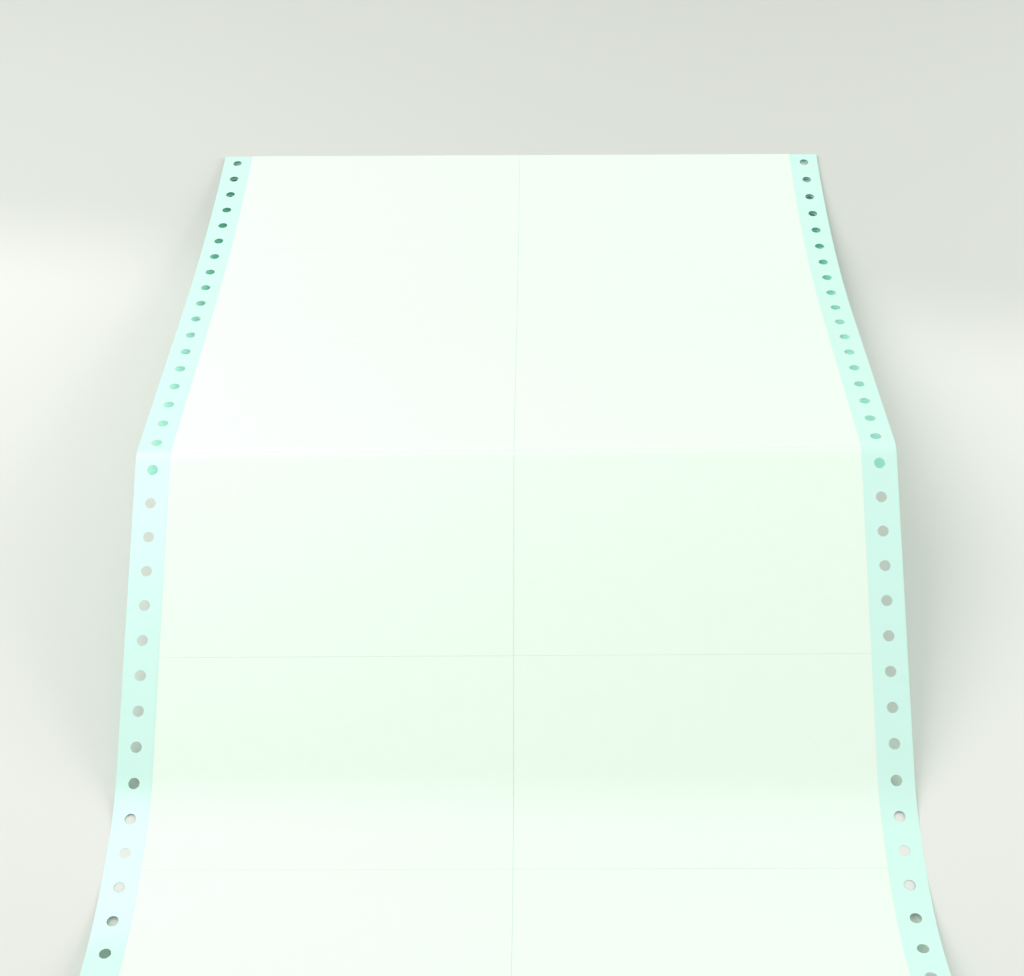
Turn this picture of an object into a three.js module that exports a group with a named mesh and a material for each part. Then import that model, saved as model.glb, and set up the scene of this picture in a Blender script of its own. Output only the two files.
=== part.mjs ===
// A length of continuous label form: three fan-fold panels of feed-hole liner carrying butted labels.
// The near and far forms lie on a table as a shallow tent with a fold at the top, and the third form is
// folded back close under the far one, face down. Lengths are in millimetres, +Z is up, +X is to the right
// and +Y points away from the reader. The origin is under the middle of the sheet.
import * as THREE from "three";

// Feed margins of the liner
const FEED_PITCH = 12.7;
const FEED_HOLE_DIAMETER = 4;
const FEED_HOLE_SIDES = 16;
const FEED_MARGIN = 12.7;
const HOLE_FROM_EDGE = 6.35;

// Labels, butted edge to edge and cut down to the liner
const LABEL_WIDTH = 127;
const LABEL_COLUMNS = 2;
const HOLES_PER_LABEL = 6;
const LABELS_PER_FORM = 3;
const FORM_NAMES = ["near", "far", "under"];

// Paper gauges
const LINER_THICKNESS = 0.1;
const LABEL_THICKNESS = 0.12;

// How the sheet lies: lengths are measured along the paper from the fold line at the top
const FOLD_ARC = 5.6;
const BACK_FOLD_ARC = 1.6;
const FAR_LEVELLING_ARC = 127;
const LANDING_ARC = 22;
const HOLES_FOLD_TO_LANDING = 11;
const HOLES_ON_LANDING = 1;
const HOLES_ON_CURL = 3;

// The form underneath follows the far one at this share of its slope
const UNDER_SLOPE_SHARE = 0.72;

// The two side edges lie a little differently, so the sheet has a slight twist
const LEFT_EDGE = { ridgeHeight: 49.5, farEndShare: 0.42, curlDegrees: 18 };
const RIGHT_EDGE = { ridgeHeight: 52, farEndShare: 0.02, curlDegrees: 26 };

// Sizes that follow from the ones above
const HOLES_PER_FORM = HOLES_PER_LABEL * LABELS_PER_FORM;
const FORM_LENGTH = HOLES_PER_FORM * FEED_PITCH;
const SHEET_THICKNESS = LINER_THICKNESS + LABEL_THICKNESS;
const FACE_WIDTH = LABEL_WIDTH * LABEL_COLUMNS;
const SHEET_WIDTH = FACE_WIDTH + 2 * FEED_MARGIN;
const LANDING_START = HOLES_FOLD_TO_LANDING * FEED_PITCH;
const LANDING_END = LANDING_START + HOLES_ON_LANDING * FEED_PITCH;
const CURL_END = LANDING_END + HOLES_ON_CURL * FEED_PITCH;
const FOLD_STEPS = 2;
const BACK_FOLD_STEPS = 6;
const STEEPEST_SLOPE = Math.PI / 3;
const SLOPE_HALVINGS = 50;

const linerMaterial = new THREE.MeshStandardMaterial({ color: 0xcdeee4, roughness: 0.3, metalness: 0 });
const labelMaterial = new THREE.MeshStandardMaterial({ color: 0xf3f8f1, roughness: 0.75, metalness: 0 });

// The slope of one side edge at each station where its bending changes, from the near end, over the fold
// and round the back fold to the end of the form underneath, which heads back towards the reader.
// Between two stations the slope changes evenly, which is a straight run or a round arc.
function bendsOf(edge, nearSlope, farSlope) {
  const curl = THREE.MathUtils.degToRad(edge.curlDegrees);
  const farEndSlope = farSlope * edge.farEndShare;
  return [
    [-FORM_LENGTH, -curl],
    [-CURL_END, -curl],
    [-LANDING_END, 0],
    [-LANDING_START, 0],
    [-LANDING_START + LANDING_ARC, nearSlope],
    [-FOLD_ARC / 2, nearSlope],
    [FOLD_ARC / 2, -farSlope],
    [FORM_LENGTH - FAR_LEVELLING_ARC, -farSlope],
    [FORM_LENGTH - BACK_FOLD_ARC / 2, -farEndSlope],
    [FORM_LENGTH + BACK_FOLD_ARC / 2, -Math.PI - farEndSlope * UNDER_SLOPE_SHARE],
    [FORM_LENGTH + FAR_LEVELLING_ARC, -Math.PI - farSlope * UNDER_SLOPE_SHARE],
    [2 * FORM_LENGTH, -Math.PI - farSlope * UNDER_SLOPE_SHARE],
  ];
}

// Ground covered, height gained and slope reached at a station, counted from the first bend.
function travel(bends, station) {
  let run = 0;
  let rise = 0;
  let slope = bends[0][1];
  for (let i = 1; i < bends.length; i += 1) {
    const [start, slopeIn] = bends[i - 1];
    const [end, slopeOut] = bends[i];
    const length = Math.min(station, end) - start;
    if (length <= 0) break;
    const turn = ((slopeOut - slopeIn) * length) / (end - start);
    slope = slopeIn + turn;
    if (turn === 0) {
      run += length * Math.cos(slope);
      rise += length * Math.sin(slope);
    } else {
      run += (length * (Math.sin(slope) - Math.sin(slopeIn))) / turn;
      rise += (length * (Math.cos(slopeIn) - Math.cos(slope))) / turn;
    }
  }
  return { run, rise, slope };
}

// The slope at which a value that grows with the slope reaches its target.
function solveSlope(valueAt, target) {
  let low = 0;
  let high = STEEPEST_SLOPE;
  for (let i = 0; i < SLOPE_HALVINGS; i += 1) {
    const middle = (low + high) / 2;
    if (valueAt(middle) < target) low = middle;
    else high = middle;
  }
  return (low + high) / 2;
}

// The station of the back fold's lowest line, where the sheet heads level towards the reader.
function lowestStation(bends) {
  const turned = bends.findIndex(([, slope]) => slope <= -Math.PI);
  const [start, slopeIn] = bends[turned - 1];
  const [end, slopeOut] = bends[turned];
  return start + ((slopeIn + Math.PI) / (slopeIn - slopeOut)) * (end - start);
}

// One side edge of the liner's back as a curve. The landing touches the table with the liner's back, and
// the back fold touches it with the labels, which puts the liner's back one sheet thickness up.
function edgeCurve(edge) {
  const climb = (bends) => travel(bends, -FOLD_ARC / 2).rise - travel(bends, -LANDING_START).rise;
  const drop = (bends) => travel(bends, -LANDING_START).rise - travel(bends, lowestStation(bends)).rise;
  const nearSlope = solveSlope((slope) => climb(bendsOf(edge, slope, 0)), edge.ridgeHeight);
  const farSlope = solveSlope((slope) => drop(bendsOf(edge, nearSlope, slope)), -SHEET_THICKNESS);
  const bends = bendsOf(edge, nearSlope, farSlope);
  const fold = travel(bends, 0);
  const landing = travel(bends, -LANDING_START);
  return (station) => {
    const at = travel(bends, station);
    return { y: at.run - fold.run, z: at.rise - landing.rise, slope: at.slope };
  };
}

const leftCurve = edgeCurve(LEFT_EDGE);
const rightCurve = edgeCurve(RIGHT_EDGE);
const farReach = Math.max(leftCurve(FORM_LENGTH).y, rightCurve(FORM_LENGTH).y);
const nearReach = Math.min(leftCurve(-FORM_LENGTH).y, rightCurve(-FORM_LENGTH).y);
const MIDDLE_Y = (farReach + nearReach) / 2;

// A point of the bent sheet: x across, station along the paper from the fold, lift from the liner's back
// towards the label side.
function sheetPoint(x, station, lift) {
  const share = x / SHEET_WIDTH + 0.5;
  const left = leftCurve(station);
  const right = rightCurve(station);
  const slope = THREE.MathUtils.lerp(left.slope, right.slope, share);
  const y = THREE.MathUtils.lerp(left.y, right.y, share) - MIDDLE_Y;
  const z = THREE.MathUtils.lerp(left.z, right.z, share);
  return [x, y - Math.sin(slope) * lift, z + Math.cos(slope) * lift];
}

// A flat pattern: triangles over points [x, station], counter-clockwise seen from above.
class Pattern {
  constructor() {
    this.points = [];
    this.triangles = [];
    this.numbers = new Map();
  }

  point(x, station) {
    const key = `${x.toFixed(5)} ${station.toFixed(5)}`;
    if (!this.numbers.has(key)) {
      this.numbers.set(key, this.points.length);
      this.points.push([x, station]);
    }
    return this.numbers.get(key);
  }

  rectangle(x0, x1, start, end) {
    const [a, b] = [this.point(x0, start), this.point(x1, start)];
    const [c, d] = [this.point(x1, end), this.point(x0, end)];
    this.triangles.push([a, b, c], [a, c, d]);
  }

  // A rectangle with a round hole: each corner fans out to its own quarter of the hole.
  holedRectangle(x0, x1, start, end, holeX, holeStation) {
    const corners = [
      this.point(x1, end),
      this.point(x0, end),
      this.point(x0, start),
      this.point(x1, start),
    ];
    const rim = [];
    for (let i = 0; i < FEED_HOLE_SIDES; i += 1) {
      const angle = (2 * Math.PI * i) / FEED_HOLE_SIDES;
      const reach = FEED_HOLE_DIAMETER / 2;
      rim.push(this.point(holeX + reach * Math.cos(angle), holeStation + reach * Math.sin(angle)));
    }
    const quarter = FEED_HOLE_SIDES / 4;
    corners.forEach((corner, q) => {
      const previous = corners[(q + 3) % 4];
      this.triangles.push([previous, corner, rim[q * quarter]]);
      for (let i = q * quarter; i < (q + 1) * quarter; i += 1) {
        this.triangles.push([corner, rim[(i + 1) % FEED_HOLE_SIDES], rim[i]]);
      }
    });
  }

  // Each edge that only one triangle uses, in that triangle's direction.
  outline() {
    const open = new Map();
    for (const [a, b, c] of this.triangles) {
      for (const [from, to] of [[a, b], [b, c], [c, a]]) {
        if (!open.delete(`${to} ${from}`)) open.set(`${from} ${to}`, [from, to]);
      }
    }
    return [...open.values()];
  }
}

// The closed, bent solid of a pattern between two lifts from the liner's back.
function bentSolid(pattern, lowLift, highLift) {
  const count = pattern.points.length;
  const positions = [];
  for (const lift of [lowLift, highLift]) {
    for (const [x, station] of pattern.points) positions.push(...sheetPoint(x, station, lift));
  }
  const faces = [];
  for (const [a, b, c] of pattern.triangles) {
    faces.push(a + count, b + count, c + count);
    faces.push(a, c, b);
  }
  // Each wall's diagonal rises from its left or nearer end, so the walls of butted labels match exactly
  for (const [from, to] of pattern.outline()) {
    const leansForward = isBefore(pattern.points[from], pattern.points[to]);
    if (leansForward) faces.push(from, to, to + count, from, to + count, from + count);
    else faces.push(from, to, from + count, to, to + count, from + count);
  }
  const geometry = new THREE.BufferGeometry();
  geometry.setAttribute("position", new THREE.Float32BufferAttribute(positions, 3));
  geometry.setIndex(faces);
  geometry.computeVertexNormals();
  return geometry;
}

function isBefore([x0, station0], [x1, station1]) {
  return x0 === x1 ? station0 < station1 : x0 < x1;
}

// The cross lines that round off a fold of a given arc, without the fold line itself.
function foldLines(foldStation, arc, steps) {
  const lines = [];
  for (let i = 0; i <= steps; i += 1) {
    if (2 * i !== steps) lines.push(foldStation + arc * (i / steps - 0.5));
  }
  return lines;
}

// Every station where the sheet has a cross line: each feed pitch, and the lines that round off the folds.
function crossLines(firstPitch, lastPitch) {
  const rounding = [
    ...foldLines(0, FOLD_ARC, FOLD_STEPS),
    ...foldLines(FORM_LENGTH, BACK_FOLD_ARC, BACK_FOLD_STEPS),
  ];
  const lines = rounding.filter((line) => line > firstPitch * FEED_PITCH && line < lastPitch * FEED_PITCH);
  for (let i = firstPitch; i <= lastPitch; i += 1) lines.push(i * FEED_PITCH);
  return lines.sort((a, b) => a - b);
}

function forEachStrip(firstPitch, lastPitch, action) {
  const lines = crossLines(firstPitch, lastPitch);
  for (let i = 1; i < lines.length; i += 1) action(lines[i - 1], lines[i]);
}

// The liner: one web with a feed hole in the middle of each pitch of both margins.
function linerPattern() {
  const pattern = new Pattern();
  const outer = SHEET_WIDTH / 2;
  const margins = [
    { x0: -outer, x1: -outer + FEED_MARGIN, holeX: -outer + HOLE_FROM_EDGE },
    { x0: outer - FEED_MARGIN, x1: outer, holeX: outer - HOLE_FROM_EDGE },
  ];
  forEachStrip(-HOLES_PER_FORM, 2 * HOLES_PER_FORM, (start, end) => {
    const holeStation = (Math.floor((start + end) / 2 / FEED_PITCH) + 0.5) * FEED_PITCH;
    const hasHole = holeStation > start && holeStation < end;
    for (const { x0, x1, holeX } of margins) {
      if (hasHole) pattern.holedRectangle(x0, x1, start, end, holeX, holeStation);
      else pattern.rectangle(x0, x1, start, end);
    }
    for (let column = 0; column < LABEL_COLUMNS; column += 1) {
      const left = -FACE_WIDTH / 2 + column * LABEL_WIDTH;
      pattern.rectangle(left, left + LABEL_WIDTH, start, end);
    }
  });
  return pattern;
}

// One label. Forms and rows are counted along the web from the near end, columns from the left.
function labelPattern(form, row, column) {
  const pattern = new Pattern();
  const left = -FACE_WIDTH / 2 + column * LABEL_WIDTH;
  const first = (form - 1) * HOLES_PER_FORM + row * HOLES_PER_LABEL;
  const last = first + HOLES_PER_LABEL;
  forEachStrip(first, last, (start, end) => pattern.rectangle(left, left + LABEL_WIDTH, start, end));
  return pattern;
}

const labelSheet = new THREE.Group();
labelSheet.name = "label_sheet";

const liner = new THREE.Mesh(bentSolid(linerPattern(), 0, LINER_THICKNESS), linerMaterial);
liner.name = "liner";
labelSheet.add(liner);

FORM_NAMES.forEach((formName, form) => {
  const labels = new THREE.Group();
  labels.name = `${formName}_form_labels`;
  for (let row = 0; row < LABELS_PER_FORM; row += 1) {
    for (let column = 0; column < LABEL_COLUMNS; column += 1) {
      const solid = bentSolid(labelPattern(form, row, column), LINER_THICKNESS, SHEET_THICKNESS);
      const label = new THREE.Mesh(solid, labelMaterial);
      label.name = `${formName}_label_row_${row + 1}_column_${column + 1}`;
      labels.add(label);
    }
  }
  labelSheet.add(labels);
});

export default labelSheet;
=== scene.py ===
"""A length of continuous label form, dressed for a studio picture.

The liner with its feed holes and the eighteen labels on it are modelled flat, at their real sizes, and are
then bent to the way in which the sheet lies: a low tent of two forms, with a third form folded back close
under the far one. Lengths are in metres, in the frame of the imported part: +X to the right, +Y away from the
reader and +Z up, with the origin on the table under the middle of the sheet.
"""

from __future__ import annotations

import logging
import math
from dataclasses import dataclass, field
from enum import Enum
from typing import Callable, Iterable

import bmesh
import bpy
import numpy as np
from mathutils import Matrix, Vector

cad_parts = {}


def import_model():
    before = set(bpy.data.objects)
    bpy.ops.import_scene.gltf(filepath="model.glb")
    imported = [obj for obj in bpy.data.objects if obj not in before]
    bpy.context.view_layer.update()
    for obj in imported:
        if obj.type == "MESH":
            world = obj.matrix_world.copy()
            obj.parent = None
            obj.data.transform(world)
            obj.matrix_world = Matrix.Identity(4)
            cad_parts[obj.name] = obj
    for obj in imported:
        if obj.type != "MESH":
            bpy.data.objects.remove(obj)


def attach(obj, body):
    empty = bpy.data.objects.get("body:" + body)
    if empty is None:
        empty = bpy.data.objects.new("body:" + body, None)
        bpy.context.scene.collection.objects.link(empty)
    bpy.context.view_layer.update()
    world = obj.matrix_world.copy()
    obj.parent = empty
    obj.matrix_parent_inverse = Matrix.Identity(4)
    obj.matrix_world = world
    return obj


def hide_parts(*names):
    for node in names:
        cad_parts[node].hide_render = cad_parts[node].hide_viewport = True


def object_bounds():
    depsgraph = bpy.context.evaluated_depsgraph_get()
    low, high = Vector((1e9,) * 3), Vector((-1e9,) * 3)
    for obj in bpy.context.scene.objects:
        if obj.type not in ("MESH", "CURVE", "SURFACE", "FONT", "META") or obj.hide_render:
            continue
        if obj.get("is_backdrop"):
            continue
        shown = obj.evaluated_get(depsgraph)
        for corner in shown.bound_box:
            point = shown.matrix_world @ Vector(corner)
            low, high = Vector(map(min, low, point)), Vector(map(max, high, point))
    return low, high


LOG = logging.getLogger("label_sheet")

Colour = tuple[float, float, float]
Place = tuple[float, float, float]

BODY = "root"
UV_NAME = "Sheet"
MM = 0.001

# Sizes of the form, along the web and across it
FEED_PITCH = 12.7 * MM
HOLES_PER_LABEL = 6
LABELS_PER_FORM = 3
LABEL_COLUMNS = 2
LABEL_WIDTH = 127 * MM
FEED_MARGIN = 12.7 * MM
LINER_THICKNESS = 0.1 * MM
LABEL_THICKNESS = 0.12 * MM
HOLES_PER_FORM = HOLES_PER_LABEL * LABELS_PER_FORM
FORM_LENGTH = HOLES_PER_FORM * FEED_PITCH
LABEL_LENGTH = HOLES_PER_LABEL * FEED_PITCH
FACE_WIDTH = LABEL_WIDTH * LABEL_COLUMNS
SHEET_WIDTH = FACE_WIDTH + 2 * FEED_MARGIN

# Rows of faces to one feed pitch, the same on the liner and on the labels
ROWS_PER_PITCH = 12

# How near two flat places have to be to count as one, and how near points have to be to merge
SAME_PLACE = 0.01 * MM
MERGE_DISTANCE = 0.001 * MM

# Turn in radians below which a run counts as straight
STRAIGHT_TURN = 1e-12

# A face of flat paper is one of its two sides, and not a cut edge, when its normal's Z is past this
SIDE_NORMAL = 0.5

# Grain of paper: fibres run along the web, and the clouds are much wider than they are
FIBRE_STRETCH = (1.0, 0.45, 1.0)
FIBRE_SIZE = 0.4 * MM
FIBRE_DETAIL = 3.0
FIBRE_HARSHNESS = 0.6
FIBRE_DISTORTION = 0.8
CLOUD_SIZE = 6 * MM
CLOUD_DETAIL = 2.0
CLOUD_HARSHNESS = 0.5

# Marks at a fold: the creased band, and the short cuts of the perforation
CREASE_WIDTH = 0.7 * MM
TICK_SPACING = 1.6 * MM
TICK_LENGTH = 1.0 * MM
TICK_WIDTH = 0.12 * MM

# Sockets of a Mix node for colours
MIX_FACTOR, MIX_FIRST, MIX_SECOND, MIX_RESULT = 0, 6, 7, 2


class Form(Enum):
    """The three forms of the web, numbered from the end that is nearest to the reader."""

    NEAR = 0
    FAR = 1
    UNDER = 2

    @property
    def start(self) -> float:
        """Station along the web, from the fold at the top, where the form begins."""
        return (self.value - 1) * FORM_LENGTH


class Surface(Enum):
    """The material slots of a piece of paper: its upper side, its lower side and its cut edges."""

    FRONT = 0
    BACK = 1
    CUT = 2


@dataclass(frozen=True)
class EdgeLie:
    """How one side edge of the sheet lies.

    Attributes:
        ridge_height: Height of the fold above the table.
        far_end_share: Share of the far form's slope that is left at its far end.
        curl: Slope in radians at which the near end curls up.
    """

    ridge_height: float
    far_end_share: float
    curl: float


@dataclass
class Lie:
    """The way in which the whole sheet lies, in straight runs and round arcs along each side edge.

    Attributes:
        left: The left side edge.
        right: The right side edge.
        fold_arc: Length of web in the fold at the top.
        back_fold_arc: Length of web in the fold behind.
        far_levelling_arc: Length of web over which the far form flattens towards its end.
        landing_arc: Length of web over which the near form comes down to level.
        landing_start: Length of web from the top fold to the start of the landing.
        landing_end: Length of web from the top fold to the start of the curl.
        curl_end: Length of web from the top fold to the end of the curl.
        under_slope_share: Slope of the form underneath, as a share of the far form's.
        steepest_slope: Slope in radians at which the search for slopes ends.
        halvings: Steps of that search.
        edges: The bends of the left and of the right edge.
        middle_y: Middle of the sheet, from the fold line.
    """

    left: EdgeLie = EdgeLie(49.5 * MM, 0.42, math.radians(18))
    right: EdgeLie = EdgeLie(52 * MM, 0.02, math.radians(26))
    fold_arc: float = 5.6 * MM
    back_fold_arc: float = 1.6 * MM
    far_levelling_arc: float = 127 * MM
    landing_arc: float = 22 * MM
    landing_start: float = 11 * FEED_PITCH
    landing_end: float = 12 * FEED_PITCH
    curl_end: float = 15 * FEED_PITCH
    under_slope_share: float = 0.72
    steepest_slope: float = math.radians(60)
    halvings: int = 50
    edges: list[list[tuple[float, float]]] = field(init=False)
    middle_y: float = field(init=False, default=0.0)

    def __post_init__(self) -> None:
        """Solves the slopes of both edges and centres the sheet on the origin."""
        self.edges = [self.solved_bends(self.left), self.solved_bends(self.right)]
        far_y = max(float(self.edge_curve(bends, np.array([FORM_LENGTH]))[0][0]) for bends in self.edges)
        near_y = min(float(self.edge_curve(bends, np.array([-FORM_LENGTH]))[0][0]) for bends in self.edges)
        self.middle_y = (far_y + near_y) / 2

    def bends(self, edge: EdgeLie, near_slope: float, far_slope: float) -> list[tuple[float, float]]:
        """Gives the stations where the bending of one edge changes.

        Args:
            edge: The side edge.
            near_slope: Slope of the near form's straight run.
            far_slope: Slope of the far form's straight run, downwards.

        Returns:
            Pairs of station and slope, from the near end to the end of the form underneath.
        """
        far_end_slope = far_slope * edge.far_end_share
        share = self.under_slope_share
        return [
            (-FORM_LENGTH, -edge.curl),
            (-self.curl_end, -edge.curl),
            (-self.landing_end, 0.0),
            (-self.landing_start, 0.0),
            (-self.landing_start + self.landing_arc, near_slope),
            (-self.fold_arc / 2, near_slope),
            (self.fold_arc / 2, -far_slope),
            (FORM_LENGTH - self.far_levelling_arc, -far_slope),
            (FORM_LENGTH - self.back_fold_arc / 2, -far_end_slope),
            (FORM_LENGTH + self.back_fold_arc / 2, -math.pi - far_end_slope * share),
            (FORM_LENGTH + self.far_levelling_arc, -math.pi - far_slope * share),
            (2 * FORM_LENGTH, -math.pi - far_slope * share),
        ]

    def travel(self, bends: list[tuple[float, float]], stations: np.ndarray) -> tuple[np.ndarray, ...]:
        """Follows one edge from its first bend.

        Args:
            bends: Pairs of station and slope.
            stations: Stations to reach.

        Returns:
            Ground covered, height gained and slope reached, at each station.
        """
        run = np.zeros(len(stations))
        rise = np.zeros(len(stations))
        slope = np.full(len(stations), bends[0][1])
        for (start, slope_in), (end, slope_out) in zip(bends, bends[1:]):
            length = np.clip(stations, start, end) - start
            turn = (slope_out - slope_in) * length / (end - start)
            reached = slope_in + turn
            curved = np.abs(turn) > STRAIGHT_TURN
            safe_turn = np.where(curved, turn, 1.0)
            run += np.where(
                curved,
                length * (np.sin(reached) - math.sin(slope_in)) / safe_turn,
                length * math.cos(slope_in),
            )
            rise += np.where(
                curved,
                length * (math.cos(slope_in) - np.cos(reached)) / safe_turn,
                length * math.sin(slope_in),
            )
            slope = np.where(length > 0, reached, slope)
        return run, rise, slope

    def height_between(self, bends: list[tuple[float, float]], low: float, high: float) -> float:
        """Returns how much higher the edge is at the second station than at the first."""
        rise = self.travel(bends, np.array([low, high]))[1]
        return float(rise[1] - rise[0])

    def solve_slope(self, value_at: Callable[[float], float], target: float) -> float:
        """Finds the slope at which a value that grows with the slope reaches its target.

        Args:
            value_at: Gives the value at a slope.
            target: The value to reach.

        Returns:
            The slope in radians.
        """
        low, high = 0.0, self.steepest_slope
        for _ in range(self.halvings):
            middle = (low + high) / 2
            if value_at(middle) < target:
                low = middle
            else:
                high = middle
        return (low + high) / 2

    def solved_bends(self, edge: EdgeLie) -> list[tuple[float, float]]:
        """Finds the slopes of one edge.

        Args:
            edge: The side edge.

        Returns:
            The bends at which it has its ridge height and its back fold touches the table.
        """
        near_slope = self.solve_slope(
            lambda slope: self.height_between(
                self.bends(edge, slope, 0.0), -self.landing_start, -self.fold_arc / 2
            ),
            edge.ridge_height,
        )

        def drop(slope: float) -> float:
            """Returns how far the back fold's lowest line is below the landing, at a far slope."""
            bends = self.bends(edge, near_slope, slope)
            return -self.height_between(bends, -self.landing_start, self.lowest_station(bends))

        far_slope = self.solve_slope(drop, -(LINER_THICKNESS + LABEL_THICKNESS))
        return self.bends(edge, near_slope, far_slope)

    @staticmethod
    def lowest_station(bends: list[tuple[float, float]]) -> float:
        """Finds the lowest line of the back fold.

        Args:
            bends: Pairs of station and slope of the edge.

        Returns:
            The station where the fold heads level towards the reader.
        """
        turned = next(i for i, (_, slope) in enumerate(bends) if slope <= -math.pi)
        (start, slope_in), (end, slope_out) = bends[turned - 1], bends[turned]
        return start + (slope_in + math.pi) / (slope_in - slope_out) * (end - start)

    def edge_curve(self, bends: list[tuple[float, float]], stations: np.ndarray) -> tuple[np.ndarray, ...]:
        """Places one edge of the liner's back.

        Args:
            bends: Pairs of station and slope of that edge.
            stations: Stations along the web.

        Returns:
            Distance from the fold line, height above the table and slope, at each station.
        """
        run, rise, slope = self.travel(bends, stations)
        fold_run = self.travel(bends, np.array([0.0]))[0][0]
        landing_rise = self.travel(bends, np.array([-self.landing_start]))[1][0]
        return run - fold_run, rise - landing_rise, slope

    def bend(self, flat: np.ndarray) -> np.ndarray:
        """Moves points of the flat web to where they lie.

        Args:
            flat: Rows of place across, station along and lift from the liner's back.

        Returns:
            Rows of x, y and z.
        """
        across, stations, lift = flat[:, 0], flat[:, 1], flat[:, 2]
        share = across / SHEET_WIDTH + 0.5
        left, right = (self.edge_curve(bends, stations) for bends in self.edges)
        along, height, slope = (a + (b - a) * share for a, b in zip(left, right))
        y = along - self.middle_y - np.sin(slope) * lift
        z = height + np.cos(slope) * lift
        return np.column_stack([across, y, z])


class EditMode:
    """Edit mode on one piece, entered with nothing else selected and left again."""

    def __init__(self, piece: bpy.types.Object, select: str = "EDGE") -> None:
        """Remembers the piece and the kind of element to select."""
        self.piece = piece
        self.select = select

    def __enter__(self) -> bmesh.types.BMesh:
        """Enters edit mode with nothing selected.

        Returns:
            The mesh that is edited.
        """
        only(self.piece)
        bpy.ops.object.mode_set(mode="EDIT")
        bpy.ops.mesh.select_mode(type=self.select)
        bpy.ops.mesh.select_all(action="DESELECT")
        return bmesh.from_edit_mesh(self.piece.data)

    def __exit__(self, *_: object) -> None:
        """Leaves edit mode."""
        bpy.ops.object.mode_set(mode="OBJECT")


def only(*pieces: bpy.types.Object) -> None:
    """Selects pieces and nothing else.

    Args:
        pieces: The pieces, of which the first becomes active.
    """
    bpy.ops.object.select_all(action="DESELECT")
    for piece in pieces:
        piece.select_set(True)
    bpy.context.view_layer.objects.active = pieces[0]


def pick(piece: bpy.types.Object, parts: Iterable, wanted: Callable[[object], bool]) -> None:
    """Selects the elements of an edited mesh that a test wants, on top of what is selected.

    Args:
        piece: The piece in edit mode.
        parts: Its vertices, edges or faces.
        wanted: The test, by place or normal.
    """
    for part in parts:
        if wanted(part):
            part.select_set(True)
    bmesh.update_edit_mesh(piece.data)


def middle(part: bmesh.types.BMEdge) -> Vector:
    """Returns the middle of an edge."""
    return (part.verts[0].co + part.verts[1].co) / 2


def apply(piece: bpy.types.Object, kind: str, **settings: object) -> None:
    """Adds a modifier to a piece, sets it and applies it.

    Args:
        piece: The piece to change.
        kind: Type of the modifier.
        settings: Its settings by name.
    """
    only(piece)
    bpy.ops.object.modifier_add(type=kind)
    modifier = piece.modifiers[-1]
    for name, value in settings.items():
        setattr(modifier, name, value)
    bpy.ops.object.modifier_apply(modifier=modifier.name)


def add_cross_lines(piece: bpy.types.Object, stations: list[float]) -> None:
    """Cuts straight lines across a flat piece, so that it can round a fold.

    Args:
        piece: The flat piece.
        stations: Stations of the lines along the web.
    """
    for station in stations:
        with EditMode(piece):
            bpy.ops.mesh.select_all(action="SELECT")
            bpy.ops.mesh.bisect(plane_co=(0, station, 0), plane_no=(0, 1, 0))


@dataclass
class FoldLines:
    """The lines that let flat paper round its two folds.

    Attributes:
        lie: Gives the length of web in each fold.
        back_fold_steps: Faces round the fold behind.
    """

    lie: Lie
    back_fold_steps: int = 16

    def within(self, start: float, end: float) -> list[float]:
        """Picks the lines that a piece needs.

        Args:
            start: Station where the piece begins.
            end: Station where it ends.

        Returns:
            The lines between the two, without the rows of faces that are there already.
        """
        half = self.lie.fold_arc / 2
        step = self.lie.back_fold_arc / self.back_fold_steps
        first = FORM_LENGTH - self.lie.back_fold_arc / 2
        lines = [-half, half] + [first + i * step for i in range(self.back_fold_steps + 1)]
        return [
            line for line in lines if start < line < end and abs(line - FORM_LENGTH) > step / 2
        ]


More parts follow.
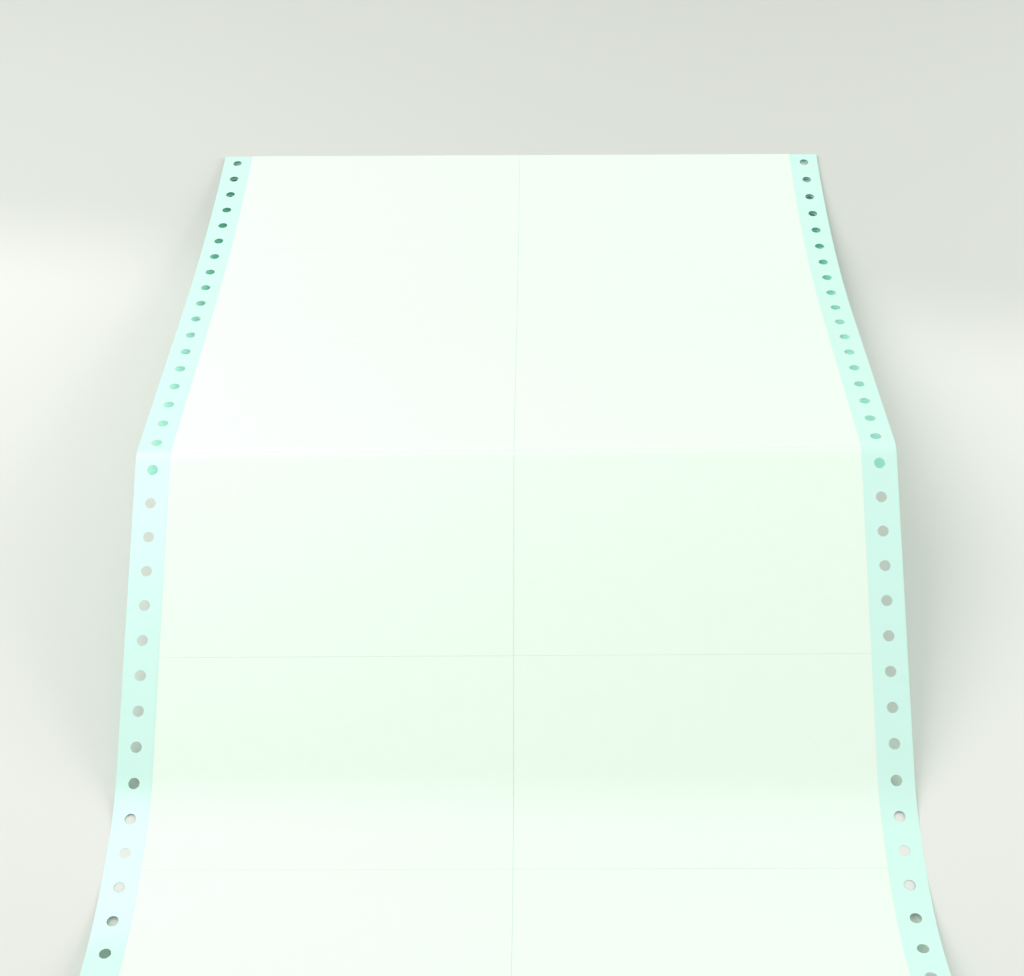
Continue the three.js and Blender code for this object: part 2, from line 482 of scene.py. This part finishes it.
class NodeSheet:
    """A small helper that adds and links the nodes of one material or group."""

    def __init__(self, tree: bpy.types.NodeTree) -> None:
        """Remembers the node tree to fill."""
        self.tree = tree

    def add(self, kind: str, **settings: object) -> bpy.types.Node:
        """Adds a node.

        Args:
            kind: Type of the node.
            settings: Attributes by name, or input values by name with spaces as underscores.

        Returns:
            The new node.
        """
        node = self.tree.nodes.new(kind)
        for name, value in settings.items():
            socket = name.replace("_", " ")
            if hasattr(node, name):
                setattr(node, name, value)
            else:
                node.inputs[socket].default_value = value
        return node

    def link(self, source: bpy.types.NodeSocket, target: bpy.types.NodeSocket) -> None:
        """Links an output to an input."""
        self.tree.links.new(source, target)

    def feed(self, target: bpy.types.NodeSocket, value: object) -> None:
        """Gives an input its value.

        Args:
            target: The input.
            value: A socket to link, a number or a linear colour.
        """
        if isinstance(value, bpy.types.NodeSocket):
            self.link(value, target)
        elif isinstance(value, tuple):
            target.default_value = (*value, 1.0)
        else:
            target.default_value = value

    def maths(self, operation: str, first: object, second: object) -> bpy.types.NodeSocket:
        """Adds a Math node.

        Args:
            operation: Its operation.
            first: A socket or a number.
            second: A socket or a number.

        Returns:
            Its value.
        """
        node = self.add("ShaderNodeMath", operation=operation)
        self.feed(node.inputs[0], first)
        self.feed(node.inputs[1], second)
        return node.outputs[0]

    def blend(self, factor: bpy.types.NodeSocket, first: object, second: object) -> bpy.types.NodeSocket:
        """Adds a Mix node for colours.

        Args:
            factor: How far the result is from the first colour to the second.
            first: A socket or a linear colour.
            second: A socket or a linear colour.

        Returns:
            The mixed colour.
        """
        node = self.add("ShaderNodeMix", data_type="RGBA")
        self.feed(node.inputs[MIX_FACTOR], factor)
        self.feed(node.inputs[MIX_FIRST], first)
        self.feed(node.inputs[MIX_SECOND], second)
        return node.outputs[MIX_RESULT]

    def ramp(
        self,
        value: bpy.types.NodeSocket,
        reach: tuple[float, float] = (0.0, 1.0),
        result: tuple[float, float] = (0.0, 1.0),
        shape: str = "LINEAR",
    ) -> bpy.types.NodeSocket:
        """Adds a Map Range node.

        Args:
            value: The value that goes in.
            reach: The values at which the change begins and ends.
            result: What comes out at those two.
            shape: The kind of change between them.

        Returns:
            The value that comes out.
        """
        node = self.add("ShaderNodeMapRange", interpolation_type=shape)
        for name, number in zip(("From Min", "From Max", "To Min", "To Max"), (*reach, *result)):
            node.inputs[name].default_value = number
        self.feed(node.inputs["Value"], value)
        return node.outputs["Result"]


def linear(red: int, green: int, blue: int) -> Colour:
    """Turns a colour as seen on a screen into the linear values of a shader.

    Args:
        red: Red, 0 to 255.
        green: Green, 0 to 255.
        blue: Blue, 0 to 255.

    Returns:
        The linear colour.
    """
    knee, straight, offset, power = 0.04045, 12.92, 0.055, 2.4

    def channel(value: int) -> float:
        """Returns the linear value of one channel."""
        share = value / 255
        return share / straight if share <= knee else ((share + offset) / (1 + offset)) ** power

    return channel(red), channel(green), channel(blue)


def start_group(
    name: str, sizes: dict[str, float], outputs: tuple[str, ...]
) -> tuple[NodeSheet, bpy.types.Node, bpy.types.Node]:
    """Starts a node group that works from a place on the web.

    Args:
        name: Name of the group.
        sizes: Default values of its other inputs, by name.
        outputs: Names of its outputs, each a plain value.

    Returns:
        The helper for its nodes, its input node and its output node.
    """
    group = bpy.data.node_groups.new(name, "ShaderNodeTree")
    sockets = group.interface
    sockets.new_socket("Place", in_out="INPUT", socket_type="NodeSocketVector")
    for title, value in sizes.items():
        socket = sockets.new_socket(title, in_out="INPUT", socket_type="NodeSocketFloat")
        socket.default_value = value
    for title in outputs:
        sockets.new_socket(title, in_out="OUTPUT", socket_type="NodeSocketFloat")
    sheet = NodeSheet(group)
    return sheet, sheet.add("NodeGroupInput"), sheet.add("NodeGroupOutput")


def paper_grain() -> bpy.types.NodeTree:
    """Builds the grain that every paper shares.

    Returns:
        A node group with the inputs Place, Fibre Size and Cloud Size, and the outputs Fibres, a fine
        height, and Clouds, a slow change of tone. Both run from 0 to 1.
    """
    sizes = {"Fibre Size": FIBRE_SIZE, "Cloud Size": CLOUD_SIZE}
    sheet, entry, leave = start_group("paper_grain", sizes, ("Fibres", "Clouds"))
    stretch = sheet.add("ShaderNodeMapping")
    stretch.inputs["Scale"].default_value = FIBRE_STRETCH
    sheet.link(entry.outputs["Place"], stretch.inputs["Vector"])
    fibres = sheet.add(
        "ShaderNodeTexNoise", Detail=FIBRE_DETAIL, Roughness=FIBRE_HARSHNESS, Distortion=FIBRE_DISTORTION
    )
    sheet.link(stretch.outputs["Vector"], fibres.inputs["Vector"])
    sheet.link(sheet.maths("DIVIDE", 1.0, entry.outputs["Fibre Size"]), fibres.inputs["Scale"])
    clouds = sheet.add("ShaderNodeTexNoise", Detail=CLOUD_DETAIL, Roughness=CLOUD_HARSHNESS)
    sheet.link(entry.outputs["Place"], clouds.inputs["Vector"])
    sheet.link(sheet.maths("DIVIDE", 1.0, entry.outputs["Cloud Size"]), clouds.inputs["Scale"])
    sheet.link(fibres.outputs["Fac"], leave.inputs["Fibres"])
    sheet.link(clouds.outputs["Fac"], leave.inputs["Clouds"])
    return sheet.tree


def fold_crease() -> bpy.types.NodeTree:
    """Builds the mark that the folds leave in the paper.

    Returns:
        A node group with the input Place and the outputs Crease, a band of 1 along each fold line, and
        Ticks, 1 in each short cut of the perforation there.
    """
    sheet, entry, leave = start_group("fold_crease", {}, ("Crease", "Ticks"))
    split = sheet.add("ShaderNodeSeparateXYZ")
    sheet.link(entry.outputs["Place"], split.inputs[0])
    away = sheet.maths("PINGPONG", split.outputs["Y"], FORM_LENGTH / 2)
    band = sheet.ramp(away, reach=(0.0, CREASE_WIDTH / 2), result=(1.0, 0.0), shape="SMOOTHSTEP")
    from_tick = sheet.maths("PINGPONG", split.outputs["X"], TICK_SPACING / 2)
    in_length = sheet.maths("LESS_THAN", from_tick, TICK_LENGTH / 2)
    in_width = sheet.maths("LESS_THAN", away, TICK_WIDTH / 2)
    sheet.link(band, leave.inputs["Crease"])
    sheet.link(sheet.maths("MULTIPLY", in_length, in_width), leave.inputs["Ticks"])
    return sheet.tree


@dataclass(frozen=True)
class PaperFinish:
    """One side of a paper: its colour, gloss and grain.

    Attributes:
        name: Name of the material.
        colour: Linear base colour.
        roughness: Mean roughness.
        coat: Weight of a smooth coat, such as silicone.
        coat_roughness: Roughness of that coat.
        tone_change: Share by which the slow clouds change the colour.
        relief: Height of the fibres in metres.
        fibre_size: Size of the fibres.
        crease_colour: Colour of the mark at a fold, or nothing.
        crease_strength: How fully the creased band takes that colour.
        roughness_spread: How far the fibres shift the roughness each way.
    """

    name: str
    colour: Colour
    roughness: float
    coat: float = 0.0
    coat_roughness: float = 0.1
    tone_change: float = 0.012
    relief: float = 0.004 * MM
    fibre_size: float = FIBRE_SIZE
    crease_colour: Colour | None = None
    crease_strength: float = 0.6
    roughness_spread: float = 0.03

    def material(self, grain: bpy.types.NodeTree, crease: bpy.types.NodeTree) -> bpy.types.Material:
        """Builds the material.

        Args:
            grain: The shared grain group.
            crease: The shared crease group.

        Returns:
            The new material.
        """
        material = bpy.data.materials.new(self.name)
        material.use_nodes = True
        sheet = NodeSheet(material.node_tree)
        shader = material.node_tree.nodes["Principled BSDF"]
        place = sheet.add("ShaderNodeUVMap", uv_map=UV_NAME)
        paper = sheet.add("ShaderNodeGroup", node_tree=grain)
        paper.inputs["Fibre Size"].default_value = self.fibre_size
        sheet.link(place.outputs["UV"], paper.inputs["Place"])
        dark = tuple(channel * (1 - self.tone_change) for channel in self.colour)
        light = tuple(min(1.0, channel * (1 + self.tone_change)) for channel in self.colour)
        colour = sheet.blend(paper.outputs["Clouds"], dark, light)
        if self.crease_colour is not None:
            fold = sheet.add("ShaderNodeGroup", node_tree=crease)
            sheet.link(place.outputs["UV"], fold.inputs["Place"])
            strength = sheet.maths("MULTIPLY", fold.outputs["Crease"], self.crease_strength)
            mark = sheet.maths("MAXIMUM", strength, fold.outputs["Ticks"])
            colour = sheet.blend(mark, colour, self.crease_colour)
        sheet.link(colour, shader.inputs["Base Color"])
        gloss = (self.roughness - self.roughness_spread, self.roughness + self.roughness_spread)
        sheet.link(sheet.ramp(paper.outputs["Fibres"], result=gloss), shader.inputs["Roughness"])
        bump = sheet.add("ShaderNodeBump", Strength=1.0, Distance=self.relief)
        sheet.link(paper.outputs["Fibres"], bump.inputs["Height"])
        sheet.link(bump.outputs["Normal"], shader.inputs["Normal"])
        shader.inputs["Coat Weight"].default_value = self.coat
        shader.inputs["Coat Roughness"].default_value = self.coat_roughness
        return material


@dataclass
class Finishes:
    """Every finish of the object, with the node groups that they share.

    Attributes:
        label_face: The upper side of a label.
        label_back: Its lower side, with the adhesive.
        label_cut: Its cut edges.
        liner_front: The upper side of the liner, with the silicone, in a pale tone of the teal paper that is
            painted light.
        liner_back: Its lower side, in a deeper tone of the same teal that is painted shade, for the paper
            seen through the holes.
        liner_cut: Its cut edges, round the holes as well.
        built: The materials by name.
    """

    label_face: PaperFinish = PaperFinish("label_face_paper", linear(235, 251, 236), 0.5)
    label_back: PaperFinish = PaperFinish("label_adhesive", linear(240, 243, 232), 0.35)
    label_cut: PaperFinish = PaperFinish("label_cut_edge", linear(202, 216, 203), 0.8)
    # The pale teal of the liner's upper side is painted light: it is the same paper as the lower side, drawn
    # as brightly lit.
    liner_front: PaperFinish = PaperFinish(
        "liner_silicone_side",
        linear(210, 250, 237),
        0.3,
        coat=0.35,
        coat_roughness=0.14,
        relief=0.0015 * MM,
        fibre_size=0.9 * MM,
        crease_colour=linear(214, 240, 232),
    )
    # The deeper teal of the liner's lower side is painted shade: it is the same paper as the upper side,
    # drawn as seen in shadow through the holes.
    liner_back: PaperFinish = PaperFinish(
        "liner_paper_side",
        linear(190, 252, 234),
        0.6,
        crease_colour=linear(120, 196, 176),
    )
    liner_cut: PaperFinish = PaperFinish("liner_cut_edge", linear(150, 214, 196), 0.8)
    built: dict[str, bpy.types.Material] = field(default_factory=dict)

    def __post_init__(self) -> None:
        """Builds the groups and the materials."""
        grain, crease = paper_grain(), fold_crease()
        for finish in (
            self.label_face,
            self.label_back,
            self.label_cut,
            self.liner_front,
            self.liner_back,
            self.liner_cut,
        ):
            self.built[finish.name] = finish.material(grain, crease)

    def dress(self, piece: bpy.types.Object, front: PaperFinish, back: PaperFinish, cut: PaperFinish) -> None:
        """Gives a flat piece of paper its three finishes, by the way that its faces point.

        Args:
            piece: The piece, still flat.
            front: Finish of its upper side.
            back: Finish of its lower side.
            cut: Finish of its cut edges.
        """
        for finish in (front, back, cut):
            piece.data.materials.append(self.built[finish.name])
        for face in piece.data.polygons:
            if face.normal.z > SIDE_NORMAL:
                face.material_index = Surface.FRONT.value
            elif face.normal.z < -SIDE_NORMAL:
                face.material_index = Surface.BACK.value
            else:
                face.material_index = Surface.CUT.value


@dataclass
class PaperWork:
    """What every piece of the sheet goes through once it is modelled flat.

    Attributes:
        lie: The way in which the sheet lies.
        smooth_angle: Angle in radians above which an edge stays sharp.
    """

    lie: Lie
    smooth_angle: float = math.radians(13)

    def lay(self, piece: bpy.types.Object) -> None:
        """Marks the flat piece with its place on the web, bends it and smooths it.

        Args:
            piece: The flat piece, with its material slots set.
        """
        mesh = piece.data
        flat = np.empty(len(mesh.vertices) * 3)
        mesh.vertices.foreach_get("co", flat)
        flat = flat.reshape(-1, 3)
        while mesh.uv_layers:
            mesh.uv_layers.remove(mesh.uv_layers[0])
        corners = np.empty(len(mesh.loops), dtype=np.int32)
        mesh.loops.foreach_get("vertex_index", corners)
        layer = mesh.uv_layers.new(name=UV_NAME)
        layer.data.foreach_set("uv", flat[corners][:, :2].astype(np.float32).ravel())
        mesh.vertices.foreach_set("co", self.lie.bend(flat).ravel())
        mesh.update()
        only(piece)
        bpy.ops.object.shade_smooth_by_angle(angle=self.smooth_angle)


@dataclass
class Liner:
    """The release liner: one long web with a feed hole to each pitch of both margins.

    Attributes:
        work: Lays the finished liner.
        finishes: The papers' looks.
        lines: The lines that let the liner round its folds.
        hole_diameter: Diameter of a feed hole.
        hole_from_edge: Distance from a hole's middle to the side edge.
        block_rows: Rows of faces that the ring round a hole takes the place of.
        web_columns: Faces across the web, between the margins.
    """

    work: PaperWork
    finishes: Finishes
    lines: FoldLines
    hole_diameter: float = 4 * MM
    hole_from_edge: float = 6.35 * MM
    block_rows: int = 6
    web_columns: int = 24

    def build(self) -> bpy.types.Object:
        """Models, bends and dresses the liner.

        Returns:
            The finished piece.
        """
        right = self.feed_margin()
        left = self.other_margin(right)
        liner = self.joined(right, left)
        add_cross_lines(liner, self.lines.within(-FORM_LENGTH, 2 * FORM_LENGTH))
        apply(liner, "SOLIDIFY", thickness=LINER_THICKNESS, offset=1.0, use_even_offset=False)
        self.finishes.dress(
            liner, self.finishes.liner_front, self.finishes.liner_back, self.finishes.liner_cut
        )
        self.work.lay(liner)
        liner.name = liner.data.name = "release_liner"
        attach(liner, BODY)
        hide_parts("liner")
        return liner

    def feed_margin(self) -> bpy.types.Object:
        """Models the right margin: one holed cell, repeated along the web.

        Returns:
            The margin, flat and one surface thick.
        """
        hole_x = SHEET_WIDTH / 2 - self.hole_from_edge
        centre = Vector((hole_x, -FORM_LENGTH + FEED_PITCH / 2, 0))
        bpy.ops.object.select_all(action="DESELECT")
        bpy.ops.mesh.primitive_plane_add(size=FEED_PITCH, location=centre)
        margin = bpy.context.object
        bpy.ops.object.transform_apply(location=True, rotation=True, scale=True)
        half_block = FEED_PITCH / ROWS_PER_PITCH * self.block_rows / 2
        just_over = half_block + SAME_PLACE
        with EditMode(margin, "FACE"):
            bpy.ops.mesh.select_all(action="SELECT")
            bpy.ops.mesh.subdivide(number_cuts=ROWS_PER_PITCH - 1)
            bpy.ops.mesh.select_all(action="DESELECT")
            mesh = bmesh.from_edit_mesh(margin.data)
            pick(
                margin,
                mesh.faces,
                lambda face: self.is_within(face.calc_center_median() - centre, half_block),
            )
            bpy.ops.mesh.delete(type="FACE")
            bpy.ops.mesh.select_mode(type="EDGE")
            bpy.ops.mesh.primitive_circle_add(
                vertices=4 * self.block_rows,
                radius=self.hole_diameter / 2,
                fill_type="NOTHING",
                location=centre,
                rotation=(math.pi, 0, 0),
            )
            mesh = bmesh.from_edit_mesh(margin.data)
            pick(
                margin,
                mesh.edges,
                lambda edge: len(edge.link_faces) < 2 and self.is_within(middle(edge) - centre, just_over),
            )
            bpy.ops.mesh.bridge_edge_loops(number_cuts=1, interpolation="LINEAR")
        apply(
            margin,
            "ARRAY",
            count=len(Form) * HOLES_PER_FORM,
            use_relative_offset=False,
            use_constant_offset=True,
            constant_offset_displace=(0, FEED_PITCH, 0),
            use_merge_vertices=True,
            merge_threshold=MERGE_DISTANCE,
        )
        return margin

    @staticmethod
    def is_within(offset: Vector, reach: float) -> bool:
        """Says whether an offset from a square's middle is inside it, by half the square's width."""
        return max(abs(offset.x), abs(offset.y)) < reach

    def other_margin(self, margin: bpy.types.Object) -> bpy.types.Object:
        """Copies a margin to the other side of the web.

        Args:
            margin: The right margin.

        Returns:
            The left margin.
        """
        only(margin)
        bpy.ops.object.duplicate()
        other = bpy.context.object
        with EditMode(other):
            bpy.ops.mesh.select_all(action="SELECT")
            bpy.ops.transform.translate(value=(-SHEET_WIDTH + 2 * self.hole_from_edge, 0, 0))
        return other

    def joined(self, right: bpy.types.Object, left: bpy.types.Object) -> bpy.types.Object:
        """Joins the margins and bridges the web between their inner edges.

        Args:
            right: The right margin.
            left: The left margin.

        Returns:
            The flat liner, one surface thick.
        """
        only(right, left)
        bpy.ops.object.join()
        with EditMode(right) as mesh:
            inner = FACE_WIDTH / 2
            pick(
                right,
                mesh.edges,
                lambda edge: all(abs(abs(vertex.co.x) - inner) < SAME_PLACE for vertex in edge.verts),
            )
            bpy.ops.mesh.bridge_edge_loops(number_cuts=self.web_columns - 1, interpolation="LINEAR")
            bpy.ops.mesh.select_all(action="SELECT")
            bpy.ops.mesh.normals_make_consistent(inside=False)
        self.face_up(right)
        return right

    @staticmethod
    def face_up(piece: bpy.types.Object) -> None:
        """Turns the faces of a flat surface upwards.

        Args:
            piece: The surface.
        """
        if sum(face.normal.z for face in piece.data.polygons) < 0:
            with EditMode(piece, "FACE"):
                bpy.ops.mesh.select_all(action="SELECT")
                bpy.ops.mesh.flip_normals()


@dataclass
class LabelSet:
    """The labels: one is modelled, and each of the others is a copy of it in its own place.

    Attributes:
        work: Lays each finished label.
        finishes: The papers' looks.
        lines: The lines that let a label round a fold.
        column_cut_width: Width of the cut between the columns.
        row_cut_width: Width of the cuts between the rows.
        edge_round: Rounding of the upper rim.
        rim_steps: Faces across that rounding.
        columns_of_faces: Faces across a label.
        clearance: Gap that keeps the label's back off the liner's face.
    """

    work: PaperWork
    finishes: Finishes
    lines: FoldLines
    column_cut_width: float = 0.12 * MM
    row_cut_width: float = 0.03 * MM
    edge_round: float = 0.02 * MM
    rim_steps: int = 2
    columns_of_faces: int = 16
    clearance: float = 0.001 * MM

    def build(self) -> list[bpy.types.Object]:
        """Models the first label and copies it to every place on the liner.

        Returns:
            The finished labels.
        """
        pattern = self.pattern()
        labels = []
        for form in Form:
            for row in range(LABELS_PER_FORM):
                for column in range(LABEL_COLUMNS):
                    labels.append(self.label(pattern, form, row, column))
        bpy.data.objects.remove(pattern)
        return labels

    def pattern(self) -> bpy.types.Object:
        """Models one label with its middle on the origin.

        Returns:
            The flat label, with its finishes.
        """
        bpy.ops.object.select_all(action="DESELECT")
        bpy.ops.mesh.primitive_grid_add(
            x_subdivisions=self.columns_of_faces,
            y_subdivisions=HOLES_PER_LABEL * ROWS_PER_PITCH,
            size=1,
            location=(0, 0, LINER_THICKNESS + self.clearance),
        )
        pattern = bpy.context.object
        bpy.ops.object.transform_apply(location=True, rotation=True, scale=True)
        with EditMode(pattern):
            bpy.ops.mesh.select_all(action="SELECT")
            bpy.ops.transform.resize(
                value=(LABEL_WIDTH - self.column_cut_width, LABEL_LENGTH - self.row_cut_width, 1),
                center_override=(0, 0, 0),
            )
        apply(pattern, "SOLIDIFY", thickness=LABEL_THICKNESS, offset=1.0, use_even_offset=False)
        with EditMode(pattern) as mesh:
            top = LINER_THICKNESS + self.clearance + LABEL_THICKNESS / 2
            pick(pattern, mesh.edges, lambda edge: self.is_upper_rim(edge, top))
            bpy.ops.mesh.bevel(offset=self.edge_round, segments=self.rim_steps, affect="EDGES")
        self.finishes.dress(
            pattern, self.finishes.label_face, self.finishes.label_back, self.finishes.label_cut
        )
        return pattern

    @staticmethod
    def is_upper_rim(edge: bmesh.types.BMEdge, height: float) -> bool:
        """Says whether an edge runs round the upper side of a label, by a height between its two sides."""
        normals = [abs(face.normal.z) for face in edge.link_faces]
        return middle(edge).z > height and min(normals) < SIDE_NORMAL < max(normals)

    def label(self, pattern: bpy.types.Object, form: Form, row: int, column: int) -> bpy.types.Object:
        """Makes one label from the pattern.

        Args:
            pattern: The flat label on the origin.
            form: The form that carries it.
            row: Its row on the form, counted along the web from the near end.
            column: Its column, counted from the left.

        Returns:
            The finished label.
        """
        start = form.start + row * LABEL_LENGTH
        across = -FACE_WIDTH / 2 + (column + 0.5) * LABEL_WIDTH
        only(pattern)
        bpy.ops.object.duplicate()
        label = bpy.context.object
        with EditMode(label):
            bpy.ops.mesh.select_all(action="SELECT")
            bpy.ops.transform.translate(value=(across, start + LABEL_LENGTH / 2, 0))
        add_cross_lines(label, self.lines.within(start, start + LABEL_LENGTH))
        self.work.lay(label)
        node = f"{form.name.lower()}_label_row_{row + 1}_column_{column + 1}"
        label.name = label.data.name = f"paper_{node}"
        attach(label, BODY)
        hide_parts(node)
        return label


@dataclass(frozen=True)
class SoftBox:
    """One square studio lamp.

    Attributes:
        name: Name of the lamp.
        place: Where it hangs.
        target: What it points at.
        size: Its side.
        watts: Its power.
    """

    name: str
    place: Place
    target: Place
    size: float
    watts: float

    def hang(self) -> None:
        """Adds the lamp to the scene."""
        data = bpy.data.lights.new(self.name, "AREA")
        data.shape = "SQUARE"
        data.size = self.size
        data.energy = self.watts
        lamp = bpy.data.objects.new(self.name, data)
        lamp.location = self.place
        aim = Vector(self.target) - Vector(self.place)
        lamp.rotation_euler = aim.to_track_quat("-Z", "Y").to_euler()
        bpy.context.scene.collection.objects.link(lamp)


@dataclass
class Studio:
    """The plain table, the lamps and the room around them.

    Attributes:
        floor_size: Side of the table.
        floor_colour: Its colour around the sheet and towards the reader.
        floor_painted_shade_colour: Its darker colour behind the sheet, which is painted shade.
        painted_shade_band: Where along the table the one turns into the other, so where the painted shade
            fades in.
        painted_shade_slant: How much nearer that change is for each metre to the right.
        floor_roughness: Roughness of the table.
        floor_shine: Specular level of the table.
        room_light: Colour of the even light.
        room_strength: Strength of the even light.
        room_colour: What the camera sees past the table.
        lamps: The soft boxes.
    """

    floor_size: float = 8.0
    floor_colour: Colour = linear(228, 231, 224)
    # The far colour, with the band and slant below, is painted shade: the table turns darker behind the
    # sheet.
    floor_painted_shade_colour: Colour = linear(211, 215, 208)
    painted_shade_band: tuple[float, float] = (0.1, 0.17)
    painted_shade_slant: float = 0.14
    floor_roughness: float = 0.9
    floor_shine: float = 0.1
    room_light: Colour = (1.0, 1.0, 1.0)
    room_strength: float = 0.5
    room_colour: Colour = linear(240, 242, 236)
    lamps: tuple[SoftBox, ...] = (
        SoftBox("left_softbox", place=(-0.38, 0.15, 0.6), target=(-0.05, 0.08, 0), size=0.6, watts=2.95),
        SoftBox("right_softbox", place=(0.8, 0.1, 0.42), target=(0.1, 0, 0), size=0.6, watts=3.6),
        SoftBox("front_softbox", place=(0.03, -1.0, 1.35), target=(0, 0, 0), size=0.7, watts=2.3),
    )

    def build(self) -> None:
        """Lays the table, hangs the lamps and lights the room."""
        self.lay_table()
        for lamp in self.lamps:
            lamp.hang()
        self.light_room()
        bpy.context.scene.view_settings.view_transform = "Standard"

    def lay_table(self) -> None:
        """Adds the table as a wide plane at height zero, with painted shade that makes it a little darker
        behind the sheet.
        """
        bpy.ops.object.select_all(action="DESELECT")
        bpy.ops.mesh.primitive_plane_add(size=self.floor_size, location=(0, 0, 0))
        table = bpy.context.object
        table.name = table.data.name = "table"
        material = bpy.data.materials.new("table_paint")
        material.use_nodes = True
        sheet = NodeSheet(material.node_tree)
        shader = material.node_tree.nodes["Principled BSDF"]
        place = sheet.add("ShaderNodeTexCoord")
        split = sheet.add("ShaderNodeSeparateXYZ")
        sheet.link(place.outputs["Object"], split.inputs[0])
        # Painted shade: past a slanted band, the table's colour turns darker behind the sheet.
        slanted = sheet.maths(
            "ADD", split.outputs["Y"], sheet.maths("MULTIPLY", split.outputs["X"], self.painted_shade_slant)
        )
        change = sheet.ramp(slanted, reach=self.painted_shade_band, shape="SMOOTHSTEP")
        tone = sheet.blend(change, self.floor_colour, self.floor_painted_shade_colour)
        sheet.link(tone, shader.inputs["Base Color"])
        shader.inputs["Roughness"].default_value = self.floor_roughness
        shader.inputs["Specular IOR Level"].default_value = self.floor_shine
        table.data.materials.append(material)
        table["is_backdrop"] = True

    def light_room(self) -> None:
        """Gives the room an even light, and a pale look wherever the camera sees past the table."""
        world = bpy.data.worlds.new("room")
        bpy.context.scene.world = world
        world.use_nodes = True
        sheet = NodeSheet(world.node_tree)
        light = world.node_tree.nodes["Background"]
        sheet.feed(light.inputs["Color"], self.room_light)
        light.inputs["Strength"].default_value = self.room_strength
        seen = sheet.add("ShaderNodeBackground")
        sheet.feed(seen.inputs["Color"], self.room_colour)
        path = sheet.add("ShaderNodeLightPath")
        mix = sheet.add("ShaderNodeMixShader")
        sheet.link(path.outputs["Is Camera Ray"], mix.inputs[0])
        sheet.link(light.outputs[0], mix.inputs[1])
        sheet.link(seen.outputs[0], mix.inputs[2])
        sheet.link(mix.outputs[0], world.node_tree.nodes["World Output"].inputs["Surface"])


@dataclass(frozen=True)
class StudioCamera:
    """The camera at the photograph's viewing angle.

    Attributes:
        place: Where it stands.
        lens: Focal length in millimetres.
        sensor: Sensor width in millimetres.
        nearest: Distance at which it begins to see.
        pitch_down: Angle below the horizon in radians.
        yaw: Turn to the right in radians.
        roll: Roll in radians.
    """

    place: Place = (11.49 * MM, -393.96 * MM, 527.44 * MM)
    lens: float = 58.84
    sensor: float = 36.0
    nearest: float = 0.01
    pitch_down: float = math.radians(51.892)
    yaw: float = math.radians(-1.849)
    roll: float = math.radians(-1.68)

    def set_up(self) -> None:
        """Adds the camera and makes it the scene's own."""
        data = bpy.data.cameras.new("studio_camera")
        data.sensor_fit = "HORIZONTAL"
        data.sensor_width = self.sensor
        data.lens = self.lens
        data.clip_start = self.nearest
        level = math.cos(self.pitch_down)
        ahead = Vector((math.sin(self.yaw) * level, math.cos(self.yaw) * level, -math.sin(self.pitch_down)))
        side = Vector((math.cos(self.yaw), -math.sin(self.yaw), 0.0))
        up = side.cross(ahead)
        rolled_side = side * math.cos(self.roll) + up * math.sin(self.roll)
        rolled_up = up * math.cos(self.roll) - side * math.sin(self.roll)
        camera = bpy.data.objects.new("studio_camera", data)
        turn = Matrix((rolled_side, rolled_up, -ahead)).transposed()
        camera.matrix_world = Matrix.Translation(self.place) @ turn.to_4x4()
        bpy.context.scene.collection.objects.link(camera)
        bpy.context.scene.camera = camera


def as_lists(box: object) -> list[list[float]]:
    """Turns a box of two corners into plain lists of numbers."""
    return [[float(value) for value in corner] for corner in box]


def main() -> list[list[float]]:
    """Builds the sheet, the studio and the camera in order.

    Returns:
        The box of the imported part, as it was loaded.
    """
    logging.basicConfig(level=logging.INFO, format="%(name)s: %(message)s")
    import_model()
    cad_box = as_lists(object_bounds())
    lie = Lie()
    work = PaperWork(lie)
    lines = FoldLines(lie)
    finishes = Finishes()
    liner = Liner(work, finishes, lines).build()
    LOG.info("%s has %d faces", liner.name, len(liner.data.polygons))
    for label in LabelSet(work, finishes, lines).build():
        LOG.info("%s has %d faces", label.name, len(label.data.polygons))
    Studio().build()
    StudioCamera().set_up()
    return cad_box


if __name__ == "__main__":
    packed_box = main()
